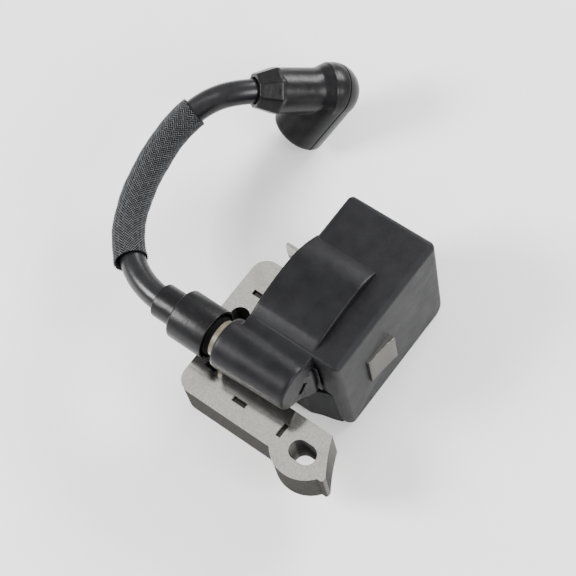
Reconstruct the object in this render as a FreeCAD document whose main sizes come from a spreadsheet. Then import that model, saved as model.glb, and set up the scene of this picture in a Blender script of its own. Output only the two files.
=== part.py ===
import FreeCAD, Part

import math
import os
import re

from FreeCAD import Placement, Rotation, Vector

# Ignition coil module of a small two-stroke engine: a laminated core, a potted coil case with an
# output tower, a high-tension lead with a braided sleeve, and the boot for the spark plug.
#
# Frame: millimetres. The origin is on the axis of the round mounting hole, halfway through the
# lamination stack. +X points from the yoke to the flywheel, +Y from the front leg to the coil leg,
# and +Z along the flywheel's axis. The module stands on the rim of its case.

doc = FreeCAD.newDocument("ignition_coil")
dims = doc.addObject("Spreadsheet::Sheet", "dims")

DRIVING = [
    # Lamination stack
    ("stack_height", 11.5, "thickness of the lamination stack"),
    ("yoke_edge", 6.0, "yoke's outer edge from the round hole"),
    ("yoke_width", 13.9, "width of the yoke"),
    ("yoke_front", 10.5, "front end of the wide part of the yoke"),
    ("core_front", 24.3, "outer edge of the front leg from the round hole"),
    ("core_rear", 17.6, "outer edge of the coil leg from the round hole"),
    ("front_leg_width", 11.4, "width of the front leg"),
    ("coil_leg_width", 9.7, "width of the coil leg"),
    ("leg_step", 3.3, "how far the front leg's end stands in from the yoke"),
    ("tip_reach", 45.0, "end of the front pole's hook"),
    ("wheel_x", 89.7, "flywheel's centre, X"),
    ("wheel_y", 7.1, "flywheel's centre, Y"),
    ("wheel_radius", 53.8, "radius of the pole faces"),
    ("ear_x", 35.8, "centre of the slotted ear, X"),
    ("ear_y", 18.4, "centre of the slotted ear, distance to the front"),
    ("ear_radius", 9.6, "radius of the slotted ear"),
    ("slot_x", 36.25, "centre of the mounting slot, X"),
    ("slot_y", 20.7, "centre of the mounting slot, distance to the front"),
    ("hole_radius", 2.75, "radius of the round hole and of the slot's ends"),
    ("slot_run", 2.2, "straight length of the slot"),
    ("corner_radius", 4.5, "radius of the yoke's outer corners"),
    ("inner_radius", 1.2, "radius of the corners inside the core"),
    ("hook_round", 0.7, "rounding of the front pole's hook"),
    ("lock_width", 1.5, "width of a stamped interlock"),
    ("lock_depth", 0.9, "depth of a stamped interlock"),
    # Coil case
    ("case_x", 8.0, "case's face beside the yoke"),
    ("case_length", 26.8, "length of the case along X"),
    ("case_front", 2.6, "case's front face, distance to the front"),
    ("case_width", 42.8, "width of the case along Y"),
    ("case_bottom", 16.65, "rim of the case below the middle of the stack"),
    ("case_height", 36.05, "height of the case"),
    ("case_wall", 1.6, "wall of the case"),
    ("case_round", 1.8, "rounding of the case's outer edges"),
    ("rim_round_front", 3.0, "rounding of the case's front lower edge"),
    ("rim_round_rear", 4.0, "rounding of the case's rear lower edge"),
    ("lobe_depth", 2.6, "how far the lower front wall stands forward"),
    ("lobe_length", 15.8, "length of the lobe's flat front"),
    ("lobe_shoulder", 22.2, "where the lobe is down to half its depth"),
    ("lobe_top", 1.0, "top of the lobe below the middle of the stack"),
    ("lobe_round", 1.6, "rounding of the lobe's upper edge"),
    ("saddle_x", 7.4, "saddle's face beside the yoke"),
    ("saddle_length", 20.05, "length of the saddle along X"),
    ("saddle_rise", 2.8, "height of the saddle above the case"),
    ("saddle_rear", 24.5, "rear end of the saddle"),
    ("saddle_crown", 9.5, "highest line of the saddle"),
    ("saddle_crease", 3.8, "crease between saddle and tower, distance to the front"),
    ("crease_height", 17.45, "height of that crease"),
    ("saddle_round", 1.1, "rounding of the saddle's upper edges"),
    ("web_foot", 12.2, "foot of the web under the tower, distance to the front"),
    ("web_foot_height", 8.2, "height of that foot"),
    ("web_base", 2.3, "where the web meets the case, in front of and below the origin"),
    ("web_length", 19.25, "length of the web along X"),
    # Output tower
    ("tower_y", 9.7, "tower's axis, distance to the front"),
    ("tower_z", 13.45, "tower's axis above the middle of the stack"),
    ("tower_mouth", 4.7, "open end of the tower"),
    ("tower_length", 22.8, "length of the tower"),
    ("mouth_radius", 7.2, "tower's radius at its open end"),
    ("end_radius", 6.4, "tower's radius at its closed end"),
    ("tower_round", 1.6, "rounding of the tower's closed end"),
    ("bore_radius", 5.2, "bore of the tower"),
    ("bore_depth", 15.4, "depth of that bore"),
    ("bush_radius", 5.15, "radius of the insulating bush"),
    ("bush_start", 0.9, "outer end of the bush"),
    ("bush_length", 12.1, "length of the bush"),
    ("plate_x", 12.0, "outer face of the contact spike's plate"),
    ("plate_radius", 3.0, "radius of that plate"),
    ("plate_play", 0.6, "gap round that plate"),
    ("spike_radius", 1.6, "radius of the contact spike's root"),
    ("spike_root", 8.0, "length of that root"),
    ("spike_length", 5.0, "length of the spike's point"),
    ("spike_base", 0.7, "radius of the point's base"),
    ("spike_tip", 0.15, "radius of the point's tip"),
    ("jumper_x", 19.4, "wire from the coil to the spike, X"),
    ("jumper_radius", 0.4, "radius of that wire"),
    ("jumper_end", 3.6, "end of that wire, over the coil"),
    ("jumper_drop", 0.65, "length of the wire's foot"),
    ("passage_radius", 0.9, "radius of the passage for that wire"),
    # Seal boot and lead
    ("boot_mouth", 1.1, "mouth of the seal boot"),
    ("boot_radius", 6.95, "radius of the seal boot"),
    ("boot_length", 10.9, "length of the seal boot's wide part"),
    ("boot_round", 0.9, "rounding of the seal boot's edges"),
    ("boot_lap", 1.2, "depth of the seal boot's pocket for the bush"),
    ("collar_radius", 4.8, "radius of the seal boot's collar"),
    ("collar_length", 6.9, "length of the collar"),
    ("lead_radius", 3.5, "radius of the high-tension lead"),
    ("sleeve_radius", 4.15, "radius of the braided sleeve"),
    # Coil
    ("bobbin_start", 10.6, "end of the primary bobbin beside the yoke"),
    ("bobbin_length", 22.4, "length of the primary bobbin"),
    ("bobbin_wall", 0.8, "wall and flanges of the bobbins"),
    ("bobbin_play", 0.1, "gap between core and primary bobbin"),
    ("winding_depth", 3.2, "depth of the windings on the primary bobbin"),
    ("charge_length", 5.6, "length of the charge winding"),
    ("trigger_length", 1.6, "length of the trigger winding"),
    ("secondary_depth", 1.9, "depth of the secondary winding"),
    # Circuit
    ("board_y", 26.2, "face of the circuit board"),
    ("board_thickness", 1.0, "thickness of the circuit board"),
    ("board_margin", 1.2, "gap between the board's ends and the case"),
    ("board_clearance", 2.0, "gap between the board's long edges and the case"),
    ("strap_play", 0.2, "gap between case and ground strap"),
    ("strap_thickness", 0.5, "thickness of the ground strap"),
    ("strap_width", 4.0, "width of the ground strap"),
    ("resin_recess", 1.0, "resin's surface inside the case's rim"),
    # Kill terminal
    ("blade_y", 20.3, "front face of the kill terminal"),
    ("blade_thickness", 0.8, "thickness of the kill terminal"),
    ("blade_start", 1.0, "outer end of the kill terminal"),
    ("blade_length", 11.5, "length of the kill terminal"),
    ("blade_top", 15.25, "upper edge of the kill terminal"),
    ("blade_height", 8.2, "height of the kill terminal"),
    ("blade_round", 1.0, "rounding of the kill terminal's outer corners"),
    # Spark plug boot
    ("nose_radius", 4.7, "rim of the plug boot's nose"),
    ("nose_length", 6.2, "length of that nose"),
    ("barrel_radius", 6.4, "radius of the plug boot's barrel"),
    ("barrel_length", 17.2, "length of the barrel from nose to elbow"),
    ("elbow_radius", 7.9, "radius of the elbow's dome"),
    ("skirt_length", 17.2, "length of the skirt"),
    ("skirt_radius", 8.0, "radius of the skirt"),
    ("plug_bore", 5.6, "radius of the bore for the spark plug's insulator"),
    ("plug_depth", 7.0, "depth of that bore"),
    ("cup_radius", 4.0, "radius of the plug terminal and of its seat in the boot"),
    ("cup_depth", 16.8, "depth of that seat from the skirt's mouth"),
    ("cup_length", 8.0, "length of the plug terminal"),
    ("cup_hole", 3.2, "radius of the space inside the plug terminal"),
    ("cup_floor", 1.0, "thickness of the plug terminal's floor"),
    ("pin_radius", 0.9, "radius of the pin from the lead to the plug terminal"),
    ("lead_depth", 13.0, "how far the lead goes into the plug boot"),
]

# Stamped interlocks of the stack: X, Y, length, and the axis they run along.
LOCKS = [
    (14.7, -19.0, 4.3, "x"),
    (28.4, -18.9, 4.0, "y"),
    (0.0, 7.7, 2.9, "x"),
    (2.5, -15.2, 3.6, "x"),
]

# Components on the back of the circuit board. Boxes: X and Z of the lower corner, then the sides.
CAPACITOR = (12.0, -12.0, 12.5, 8.0, 11.0)
TIMING_CHIP = (13.0, 4.0, 5.0, 1.6, 4.0)
# Round ones along X: X of the near end, Z of the axis, radius, length.
AXIAL_COMPONENTS = {
    "charge_diode": (13.0, 1.6, 1.35, 5.2),
    "kill_diode": (19.5, 3.2, 1.35, 5.2),
    "gate_resistor": (25.5, -6.5, 1.15, 6.2),
    "trigger_resistor": (25.5, -10.0, 1.15, 6.2),
}
COMPONENT_ROUND = 0.3
CAPACITOR_ROUND = 0.8
# Upright one with a flat: X of the axis, Z of the lower end, radius, length, axis to flat.
THYRISTOR = (28.4, -2.0, 2.4, 4.8, 1.0)
# Disc on edge: X and Z of the centre, radius, thickness.
VARISTOR = (27.5, 9.5, 3.5, 3.0)

# Points of the lead's route, from its end in the tower to its end in the plug boot.
LEAD_ROUTE = [
    Vector(12.0, -9.7, 13.45),
    Vector(-6.0, -9.7, 13.45),
    Vector(-24.0, -9.7, 13.1),
    Vector(-37.0, -0.5, 11.4),
    Vector(-44.0, 11.0, 9.4),
    Vector(-47.8, 23.0, 8.2),
    Vector(-48.9, 34.4, 8.8),
    Vector(-45.6, 44.2, 11.7),
    Vector(-38.4, 51.3, 14.1),
    Vector(-32.2, 59.2, 9.0),
]
SLEEVE_FIRST_RUN = 2
SLEEVE_LAST_RUN = 6

# Plug boot: centre of its elbow, and the directions of its barrel and of its skirt.
ELBOW = Vector(-23.1, 70.5, 1.75)
BARREL_AXIS = Vector(0.55, 0.70, -0.455).normalize()
SKIRT_AXIS = Vector(-0.351, -0.614, -0.708).normalize()

TURN = {
    "x": Rotation(Vector(0, 1, 0), 90),
    "y": Rotation(Vector(1, 0, 0), -90),
    "z": Rotation(),
}
SIDE_VIEW = Rotation(0.5, 0.5, 0.5, 0.5)


def fill_sheet():
    for row, (alias, value, note) in enumerate(DRIVING, 1):
        dims.set(f"A{row}", note)
        dims.set(f"B{row}", str(value))
        dims.setAlias(f"B{row}", alias)
    doc.recompute()


def size(alias):
    return float(dims.get(alias))


# ---- Small helpers: every text size is an expression over the sheet's aliases --------------------

def sheet_terms(text):
    return re.sub(r"([a-z]\w+)", r"dims.\1", str(text))


def bind(item, **sizes):
    for name, text in sizes.items():
        item.setExpression(name, sheet_terms(text))


def move(item, x, y, z, turn=Rotation()):
    item.Placement = Placement(Vector(), turn)
    for axis, text in zip("xyz", (x, y, z)):
        item.setExpression(f"Placement.Base.{axis}", sheet_terms(text))


def block(name, corner, sides):
    item = doc.addObject("Part::Box", name)
    bind(item, Length=sides[0], Width=sides[1], Height=sides[2])
    move(item, *corner)
    return item


def rod(name, radius, length, axis, start):
    item = doc.addObject("Part::Cylinder", name)
    bind(item, Radius=radius, Height=length)
    move(item, *start, TURN[axis])
    return item


def cone(name, first, last, length, axis, start):
    item = doc.addObject("Part::Cone", name)
    bind(item, Radius1=first, Radius2=last, Height=length)
    move(item, *start, TURN[axis])
    return item


def aim(item, start, direction):
    item.Placement = Placement(start, Rotation(Vector(0, 0, 1), direction))
    return item


def aimed_cone(name, first, last, length, start, direction):
    item = doc.addObject("Part::Cone", name)
    bind(item, Radius1=first, Radius2=last, Height=length)
    return aim(item, start, direction)


def aimed_rod(name, radius, length, start, direction):
    item = doc.addObject("Part::Cylinder", name)
    bind(item, Radius=radius, Height=length)
    return aim(item, start, direction)


def fuse(name, items):
    item = doc.addObject("Part::MultiFuse", name)
    item.Shapes = items
    item.Refine = True
    return item


def cut(name, base, tools):
    tool = tools[0] if len(tools) == 1 else fuse(name + "_tools", tools)
    item = doc.addObject("Part::Cut", name)
    item.Base = base
    item.Tool = tool
    item.Refine = True
    return item


def rounded(name, base, radius, picked):
    """Fillet the edges of base for which picked(edge) is true."""
    doc.recompute()
    item = doc.addObject("Part::Fillet", name)
    item.Base = base
    edges = base.Shape.Edges
    item.Edges = [(i, radius, radius) for i, edge in enumerate(edges, 1) if picked(edge)]
    return item


def side_profile(name, pieces, x, length):
    """Extrude an outline drawn in the Y-Z plane along +X."""
    sketch = doc.addObject("Sketcher::SketchObject", name + "_sketch")
    move(sketch, x, 0, 0, SIDE_VIEW)
    sketch.addGeometry(pieces, False)
    item = doc.addObject("Part::Extrusion", name)
    item.Base = sketch
    item.DirMode = "Custom"
    item.Dir = Vector(1, 0, 0)
    item.Solid = True
    bind(item, LengthFwd=length)
    return item


def plan_profile(name, pieces, z, height):
    """Extrude an outline drawn in the X-Y plane along +Z."""
    sketch = doc.addObject("Sketcher::SketchObject", name + "_sketch")
    move(sketch, 0, 0, z)
    sketch.addGeometry(pieces, False)
    item = doc.addObject("Part::Extrusion", name)
    item.Base = sketch
    item.DirMode = "Custom"
    item.Dir = Vector(0, 0, 1)
    item.Solid = True
    bind(item, LengthFwd=height)
    return item


def outline(points):
    ends = points[1:] + points[:1]
    return [Part.LineSegment(a, b) for a, b in zip(points, ends)]


def is_upright(edge):
    box = edge.BoundBox
    return box.ZLength > 0.9 * edge.Length


def near(edge, x, y, reach=0.6):
    middle = edge.CenterOfMass
    return abs(middle.x - x) < reach and abs(middle.y - y) < reach


def keep(item, label):
    item.Label = label
    pieces.append(item)
    return item


# ---- Lamination stack ----------------------------------------------------------------------------

def make_core():
    low = "-stack_height / 2"
    yoke = block("yoke", ("-yoke_edge", "-yoke_front", low),
                 ("yoke_width", "yoke_front + core_rear", "stack_height"))
    front = block("front_leg", ("leg_step - yoke_edge", "-core_front", low),
                  ("tip_reach + yoke_edge - leg_step", "front_leg_width", "stack_height"))
    joint = block("yoke_root", ("leg_step - yoke_edge", "-core_front", low),
                  ("yoke_width - leg_step", "core_front", "stack_height"))
    coil_leg = block("coil_leg", ("-yoke_edge", "core_rear - coil_leg_width", low),
                     ("tip_reach + yoke_edge", "coil_leg_width", "stack_height"))
    disc = rod("ear_disc", "ear_radius", "stack_height", "z", ("ear_x", "-ear_y", low))
    beyond = block("beyond_leg", ("ear_x - ear_radius", "front_leg_width - core_front", low),
                   ("2 * ear_radius", "ear_radius", "stack_height"))
    ear = cut("ear", disc, [beyond])
    blank = fuse("core_blank", [yoke, front, joint, coil_leg, ear])
    wheel = rod("wheel", "wheel_radius", "2 * stack_height", "z",
                ("wheel_x", "wheel_y", "-stack_height"))
    poles = cut("core_poles", blank, [wheel])

    left, rear = -size("yoke_edge"), size("core_rear")
    step = left + size("leg_step")
    front_edge = -size("core_front")
    outer = [(left, rear), (step, front_edge)]
    window_x = left + size("yoke_width")
    inner = [(window_x, front_edge + size("front_leg_width")),
             (window_x, rear - size("coil_leg_width")),
             (left, -size("yoke_front")),
             (step, -size("yoke_front"))]
    corners = rounded("core_corners", poles, size("corner_radius"),
                      lambda e: is_upright(e) and any(near(e, *p) for p in outer))
    body = rounded("core_inner", corners, size("inner_radius"),
                   lambda e: is_upright(e) and any(near(e, *p) for p in inner))

    hook = rounded("core_hook", body, size("hook_round"),
                   lambda e: is_upright(e) and near(e, size("tip_reach"), front_edge))

    tall = "2 * stack_height"
    below = "-stack_height"
    round_hole = rod("round_hole", "hole_radius", tall, "z", (0, 0, below))
    slot = [rod("slot_end_1", "hole_radius", tall, "z",
                ("slot_x - slot_run / 2", "-slot_y", below)),
            rod("slot_end_2", "hole_radius", tall, "z",
                ("slot_x + slot_run / 2", "-slot_y", below)),
            block("slot_middle", ("slot_x - slot_run / 2", "-slot_y - hole_radius", below),
                  ("slot_run", "2 * hole_radius", tall))]
    locks = []
    floor = "stack_height / 2 - lock_depth"
    for number, (x, y, run, along) in enumerate(LOCKS, 1):
        sides = (run, "lock_width") if along == "x" else ("lock_width", run)
        corner = (f"{x} - {sides[0]} / 2", f"{y} - {sides[1]} / 2", floor)
        locks.append(block(f"lock_{number}", corner, (*sides, "stack_height")))
    keep(cut("core", hook, [round_hole, *slot, *locks]), "core_laminations")


# ---- Case with saddle and tower ------------------------------------------------------------------

def under_profile(rim):
    """Prism with the case's rounded front and rear lower edges, well over its other faces."""
    front = -size("case_front")
    rear = front + size("case_width")
    top = rim + size("case_height") + 1
    near_r, far_r = size("rim_round_front"), size("rim_round_rear")
    slant = 1 - math.sqrt(0.5)
    a, b = Vector(front + near_r, rim, 0), Vector(rear - far_r, rim, 0)
    c, d = Vector(rear, rim + far_r, 0), Vector(rear, top, 0)
    e, f = Vector(front, top, 0), Vector(front, rim + near_r, 0)
    rear_middle = Vector(rear - far_r * slant, rim + far_r * slant, 0)
    front_middle = Vector(front + near_r * slant, rim + near_r * slant, 0)
    return side_profile(
        "under_profile",
        [Part.LineSegment(a, b), Part.Arc(b, rear_middle, c), Part.LineSegment(c, d),
         Part.LineSegment(d, e), Part.LineSegment(e, f), Part.Arc(f, front_middle, a)],
        "case_x - 1", "case_length + 2")


def make_case():
    shell = block("case_block", ("case_x", "-case_front", "-case_bottom"),
                  ("case_length", "case_width", "case_height"))
    rim = -size("case_bottom")
    boxed = rounded("case_boxed", shell, size("case_round"),
                    lambda e: e.CenterOfMass.z > rim + 0.1)
    outer = doc.addObject("Part::Common", "case_rounded")
    outer.Base = boxed
    outer.Tool = under_profile(rim)

    wall_y = -size("case_front")
    lobe_y = wall_y - size("lobe_depth")
    near_x = size("case_x")
    flat_x = near_x + size("lobe_length")
    far_x = near_x + size("case_length") - size("case_round")
    behind_y = wall_y + size("case_wall")
    lobe = plan_profile(
        "lobe_block",
        outline([Vector(near_x, lobe_y, 0), Vector(flat_x, lobe_y, 0),
                 Vector(near_x + size("lobe_shoulder"), (lobe_y + wall_y) / 2, 0),
                 Vector(far_x, wall_y, 0), Vector(far_x, behind_y, 0),
                 Vector(near_x, behind_y, 0)]),
        "-case_bottom", "case_bottom - lobe_top")
    lobe_round = rounded("lobe", lobe, size("lobe_round"),
                         lambda e: e.BoundBox.ZLength < 0.1 and e.CenterOfMass.y < lobe_y + 0.1
                         and e.CenterOfMass.z > rim + 0.1)

    case_top = size("case_height") - size("case_bottom")
    rear = Vector(size("saddle_rear"), case_top, 0)
    crown = Vector(size("saddle_crown"), case_top + size("saddle_rise"), 0)
    crease = Vector(-size("saddle_crease"), size("crease_height"), 0)
    below = size("tower_z")
    foot = Vector(crease.x, below, 0)
    heel = Vector(rear.x, below, 0)
    saddle_block = side_profile(
        "saddle_block",
        [Part.Arc(rear, crown, crease), Part.LineSegment(crease, foot),
         Part.LineSegment(foot, heel), Part.LineSegment(heel, rear)],
        "saddle_x", "saddle_length")
    saddle = rounded("saddle", saddle_block, size("saddle_round"),
                     lambda e: e.Length > 24 and e.BoundBox.XLength < 0.1 and e.CenterOfMass.z > 17)

    tower_block = cone("tower_block", "mouth_radius", "end_radius", "tower_length", "x",
                       ("tower_mouth", "-tower_y", "tower_z"))
    closed = size("tower_mouth") + size("tower_length")
    tower = rounded("tower", tower_block, size("tower_round"),
                    lambda e: e.BoundBox.XLength < 0.1 and e.CenterOfMass.x > closed - 0.1
                    and e.Length > 20)
    base = -size("web_base")
    web = side_profile(
        "web",
        outline([Vector(-size("web_foot"), size("web_foot_height"), 0), Vector(base, base, 0),
                 Vector(base, below, 0), crease, Vector(-size("tower_y"), below, 0)]),
        "case_x + 0.1", "web_length")
    solid = fuse("case_solid", [outer, lobe_round, saddle, tower, web])

    cavity = block("cavity", ("case_x + case_wall", "case_wall - case_front", "-case_bottom - 1"),
                   ("case_length - 2 * case_wall", "case_width - 2 * case_wall",
                    "case_height - case_wall + 1"))
    tunnel = block("tunnel", ("case_x - 1", "core_rear - coil_leg_width - bobbin_play",
                              "-stack_height / 2 - bobbin_play"),
                   ("case_length + 2", "coil_leg_width + 2 * bobbin_play",
                    "stack_height + 2 * bobbin_play"))
    bore = rod("tower_bore", "bore_radius", "bore_depth + 1", "x",
               ("tower_mouth - 1", "-tower_y", "tower_z"))
    passage = rod("jumper_passage", "passage_radius", "tower_y", "y",
                  ("jumper_x", "-tower_y", "tower_z"))
    slit = block("blade_slit", ("case_x - 1", "blade_y", "blade_top - blade_height"),
                 ("case_wall + 2", "blade_thickness", "blade_height"))
    keep(cut("case", solid, [cavity, tunnel, bore, passage, slit]), "housing")


# ---- Windings on the coil leg --------------------------------------------------------------------

def ring_block(name, x, length, inside, outside):
    """A square ring round the coil leg: inside and outside are distances from the leg's faces."""
    sides = []
    for part, gap in (("outer", outside), ("inner", inside)):
        start = x if part == "outer" else f"{x} - 1"
        reach = length if part == "outer" else f"{length} + 2"
        sides.append(block(f"{name}_{part}",
                           (start, f"core_rear - coil_leg_width - ({gap})",
                            f"-stack_height / 2 - ({gap})"),
                           (reach, f"coil_leg_width + 2 * ({gap})",
                            f"stack_height + 2 * ({gap})")))
    return cut(name, sides[0], [sides[1]])


def make_coil():
    tube = "bobbin_play + bobbin_wall"
    full = "bobbin_play + bobbin_wall + winding_depth"
    charge = "bobbin_start + bobbin_wall"
    trigger = f"{charge} + charge_length + bobbin_wall"
    primary = f"{trigger} + trigger_length + bobbin_wall"
    last = "bobbin_start + bobbin_length - bobbin_wall"
    primary_length = f"({last}) - ({primary})"

    parts = [ring_block("bobbin_tube", "bobbin_start", "bobbin_length", "bobbin_play", tube)]
    flanges = ("bobbin_start", f"{charge} + charge_length", f"{trigger} + trigger_length", last)
    for number, start in enumerate(flanges, 1):
        parts.append(ring_block(f"flange_{number}", start, "bobbin_wall", tube, full))
    keep(fuse("bobbin", parts), "primary_bobbin")
    keep(ring_block("charge", charge, "charge_length", tube, full), "charge_winding")
    keep(ring_block("trigger", trigger, "trigger_length", tube, full), "trigger_winding")
    keep(ring_block("primary", primary, primary_length, tube, full), "primary_winding")

    outer_tube = f"{full} + bobbin_wall"
    outer_full = f"{outer_tube} + secondary_depth"
    length = f"{primary_length} + 2 * bobbin_wall"
    start = f"{primary} - bobbin_wall"
    far_flange = f"{start} + {length} - bobbin_wall"
    parts = [ring_block("second_tube", start, length, full, outer_tube),
             ring_block("second_flange_1", start, "bobbin_wall", outer_tube, outer_full),
             ring_block("second_flange_2", far_flange, "bobbin_wall", outer_tube, outer_full)]
    keep(fuse("second_bobbin", parts), "secondary_bobbin")
    keep(ring_block("second", primary, primary_length, outer_tube, outer_full),
         "secondary_winding")


# ---- Circuit behind the coil ---------------------------------------------------------------------

def make_circuit():
    behind = "board_y + board_thickness"
    keep(block("board",
               ("case_x + case_wall + board_margin", "board_y",
                "case_wall + board_clearance - case_bottom"),
               ("case_length - 2 * case_wall - 2 * board_margin", "board_thickness",
                "case_height - 2 * case_wall - 2 * board_clearance")), "circuit_board")

    x, z, *sides = CAPACITOR
    capacitor = block("capacitor_block", (x, behind, z), sides)
    keep(rounded("capacitor", capacitor, CAPACITOR_ROUND,
                 lambda e: e.BoundBox.YLength > sides[1] - 1), "capacitor")
    x, z, *sides = TIMING_CHIP
    keep(block("chip", (x, behind, z), sides), "timing_chip")

    x, z, radius, length, to_flat = THYRISTOR
    body = rod("thyristor_round", radius, length, "z", (x, f"{behind} + {radius}", z))
    flat = block("thyristor_flat", (x - 2 * radius, f"{behind} + {radius + to_flat}", z - 1),
                 (4 * radius, 2 * radius, length + 2))
    keep(cut("thyristor_body", body, [flat]), "thyristor")

    x, z, radius, thickness = VARISTOR
    keep(rod("varistor_disc", radius, thickness, "y", (x, behind, z)), "varistor")
    for name, (x, z, radius, length) in AXIAL_COMPONENTS.items():
        body = rod(name + "_rod", radius, length, "x", (x, f"{behind} + {radius}", z))
        keep(rounded(name, body, COMPONENT_ROUND, lambda e: e.BoundBox.XLength < 0.1), name)

    keep(block("strap", ("case_x + case_wall + strap_play", "core_rear", "-strap_width / 2"),
               ("strap_thickness", "board_y + board_thickness - core_rear", "strap_width")),
         "ground_strap")
    blade = block("blade", ("blade_start", "blade_y", "blade_top - blade_height"),
                  ("blade_length", "blade_thickness", "blade_height"))
    tip = size("blade_start")
    keep(rounded("blade_rounded", blade, size("blade_round"),
                 lambda e: e.BoundBox.YLength > 0.5 and e.CenterOfMass.x < tip + 0.1),
         "kill_terminal")


def make_resin():
    """Epoxy fills what the coil and the circuit leave of the case."""
    fill = block("fill", ("case_x + case_wall", "case_wall - case_front",
                          "resin_recess - case_bottom"),
                 ("case_length - 2 * case_wall", "case_width - 2 * case_wall",
                  "case_height - case_wall - resin_recess"))
    leg = block("leg_space", ("case_x", "core_rear - coil_leg_width - bobbin_play",
                              "-stack_height / 2 - bobbin_play"),
                ("case_length", "coil_leg_width + 2 * bobbin_play",
                 "stack_height + 2 * bobbin_play"))
    doc.recompute()
    buried = [item.Shape for item in pieces
              if item.Label not in ("core_laminations", "housing", "seal_boot")]
    item = doc.addObject("Part::Feature", "resin")
    item.Shape = fill.Shape.cut([leg.Shape, *buried]).removeSplitter()
    keep(item, "potting_resin")


# ---- Output side: spike, bush, seal boot ---------------------------------------------------------

def make_output():
    axis = ("-tower_y", "tower_z")
    point = cone("spike_point", "spike_tip", "spike_base", "spike_length", "x",
                 ("plate_x - spike_length", *axis))
    plate = rod("spike_plate", "plate_radius", 1.0, "x", ("plate_x", *axis))
    root = rod("spike_root", "spike_radius", "spike_root", "x", ("plate_x", *axis))
    keep(fuse("spike", [root, plate, point]), "contact_spike")

    foot = rod("jumper_foot", "jumper_radius", "jumper_drop", "z",
               ("jumper_x", "jumper_end - 0.6", "tower_z - jumper_drop"))
    run = rod("jumper_run", "jumper_radius", "tower_y + jumper_end", "y", ("jumper_x", *axis))
    spike_space = rod("spike_space", "spike_radius", "spike_root + 1", "x", ("plate_x", *axis))
    keep(cut("jumper_wire", fuse("jumper", [foot, run]), [spike_space]), "hv_jumper")

    bush = rod("bush_outer", "bush_radius", "bush_length", "x", ("bush_start", *axis))
    hole = rod("bush_hole", "lead_radius", "bush_length + 2", "x", ("bush_start - 1", *axis))
    plate_space = rod("plate_space", "plate_radius + plate_play", 2.0, "x", ("plate_x", *axis))
    keep(cut("bush", bush, [hole, plate_space]), "tower_bush")

    wide = rod("boot_wide", "boot_radius", "boot_length", "x", ("boot_mouth - boot_length", *axis))
    soft = rounded("boot_soft", wide, size("boot_round"), lambda e: e.BoundBox.XLength < 0.1)
    collar = rod("boot_collar", "collar_radius", "collar_length + 1", "x",
                 ("boot_mouth - boot_length - collar_length", *axis))
    grip = rod("boot_grip", "lead_radius", "boot_length + collar_length + 2", "x",
               ("boot_mouth - boot_length - collar_length - 1", *axis))
    pocket = rod("boot_pocket", "bush_radius", "boot_lap", "x", ("bush_start", *axis))
    keep(cut("seal", fuse("seal_solid", [soft, collar]), [grip, pocket]), "seal_boot")


# ---- High-tension lead ---------------------------------------------------------------------------

def route_edges():
    """Straight runs joined by tangent arcs, as large as the two runs at each point allow."""
    edges = []
    radii = []
    start = LEAD_ROUTE[0]
    for before, corner, after in zip(LEAD_ROUTE, LEAD_ROUTE[1:], LEAD_ROUTE[2:]):
        arriving = (corner - before).normalize()
        leaving = (after - corner).normalize()
        reach = 0.45 * min((corner - before).Length, (after - corner).Length)
        half = arriving.getAngle(leaving) / 2
        radius = reach / math.tan(half)
        begin = corner - arriving * reach
        end = corner + leaving * reach
        inward = (leaving - arriving).normalize()
        middle = corner + inward * (radius / math.cos(half) - radius)
        edges.append(Part.LineSegment(start, begin).toShape())
        edges.append(Part.Arc(begin, middle, end).toShape())
        radii.append(radius)
        start = end
    edges.append(Part.LineSegment(start, LEAD_ROUTE[-1]).toShape())
    return edges, radii


def tube(edges, radius):
    first = edges[0]
    direction = first.tangentAt(first.FirstParameter)
    ring = Part.Wire(Part.Circle(first.valueAt(first.FirstParameter), direction, radius).toShape())
    return Part.Wire(edges).makePipeShell([ring], True, False)


def make_lead():
    edges, radii = route_edges()
    print("lead radii:", ", ".join(f"{radius:.1f}" for radius in radii))
    lead_radius = size("lead_radius")
    solid = tube(edges, lead_radius)
    length = sum(edge.Length for edge in edges)
    share = solid.Volume / (math.pi * lead_radius ** 2 * length)
    print(f"lead length {length:.1f}, volume over section times length {share:.4f}")
    item = doc.addObject("Part::Feature", "lead")
    item.Shape = solid
    keep(item, "ht_lead")

    def half_run(number, first):
        run = edges[2 * number]
        middle = run.valueAt((run.FirstParameter + run.LastParameter) / 2)
        ends = (middle, run.Vertexes[1].Point) if first else (run.Vertexes[0].Point, middle)
        return Part.LineSegment(Vector(*ends[0]), Vector(*ends[1])).toShape()

    between = edges[2 * SLEEVE_FIRST_RUN + 1:2 * SLEEVE_LAST_RUN]
    path = [half_run(SLEEVE_FIRST_RUN, True), *between, half_run(SLEEVE_LAST_RUN, False)]
    item = doc.addObject("Part::Feature", "sleeve")
    item.Shape = tube(path, size("sleeve_radius")).cut(tube(path, lead_radius))
    keep(item, "braided_sleeve")


# ---- Spark plug boot -----------------------------------------------------------------------------

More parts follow.
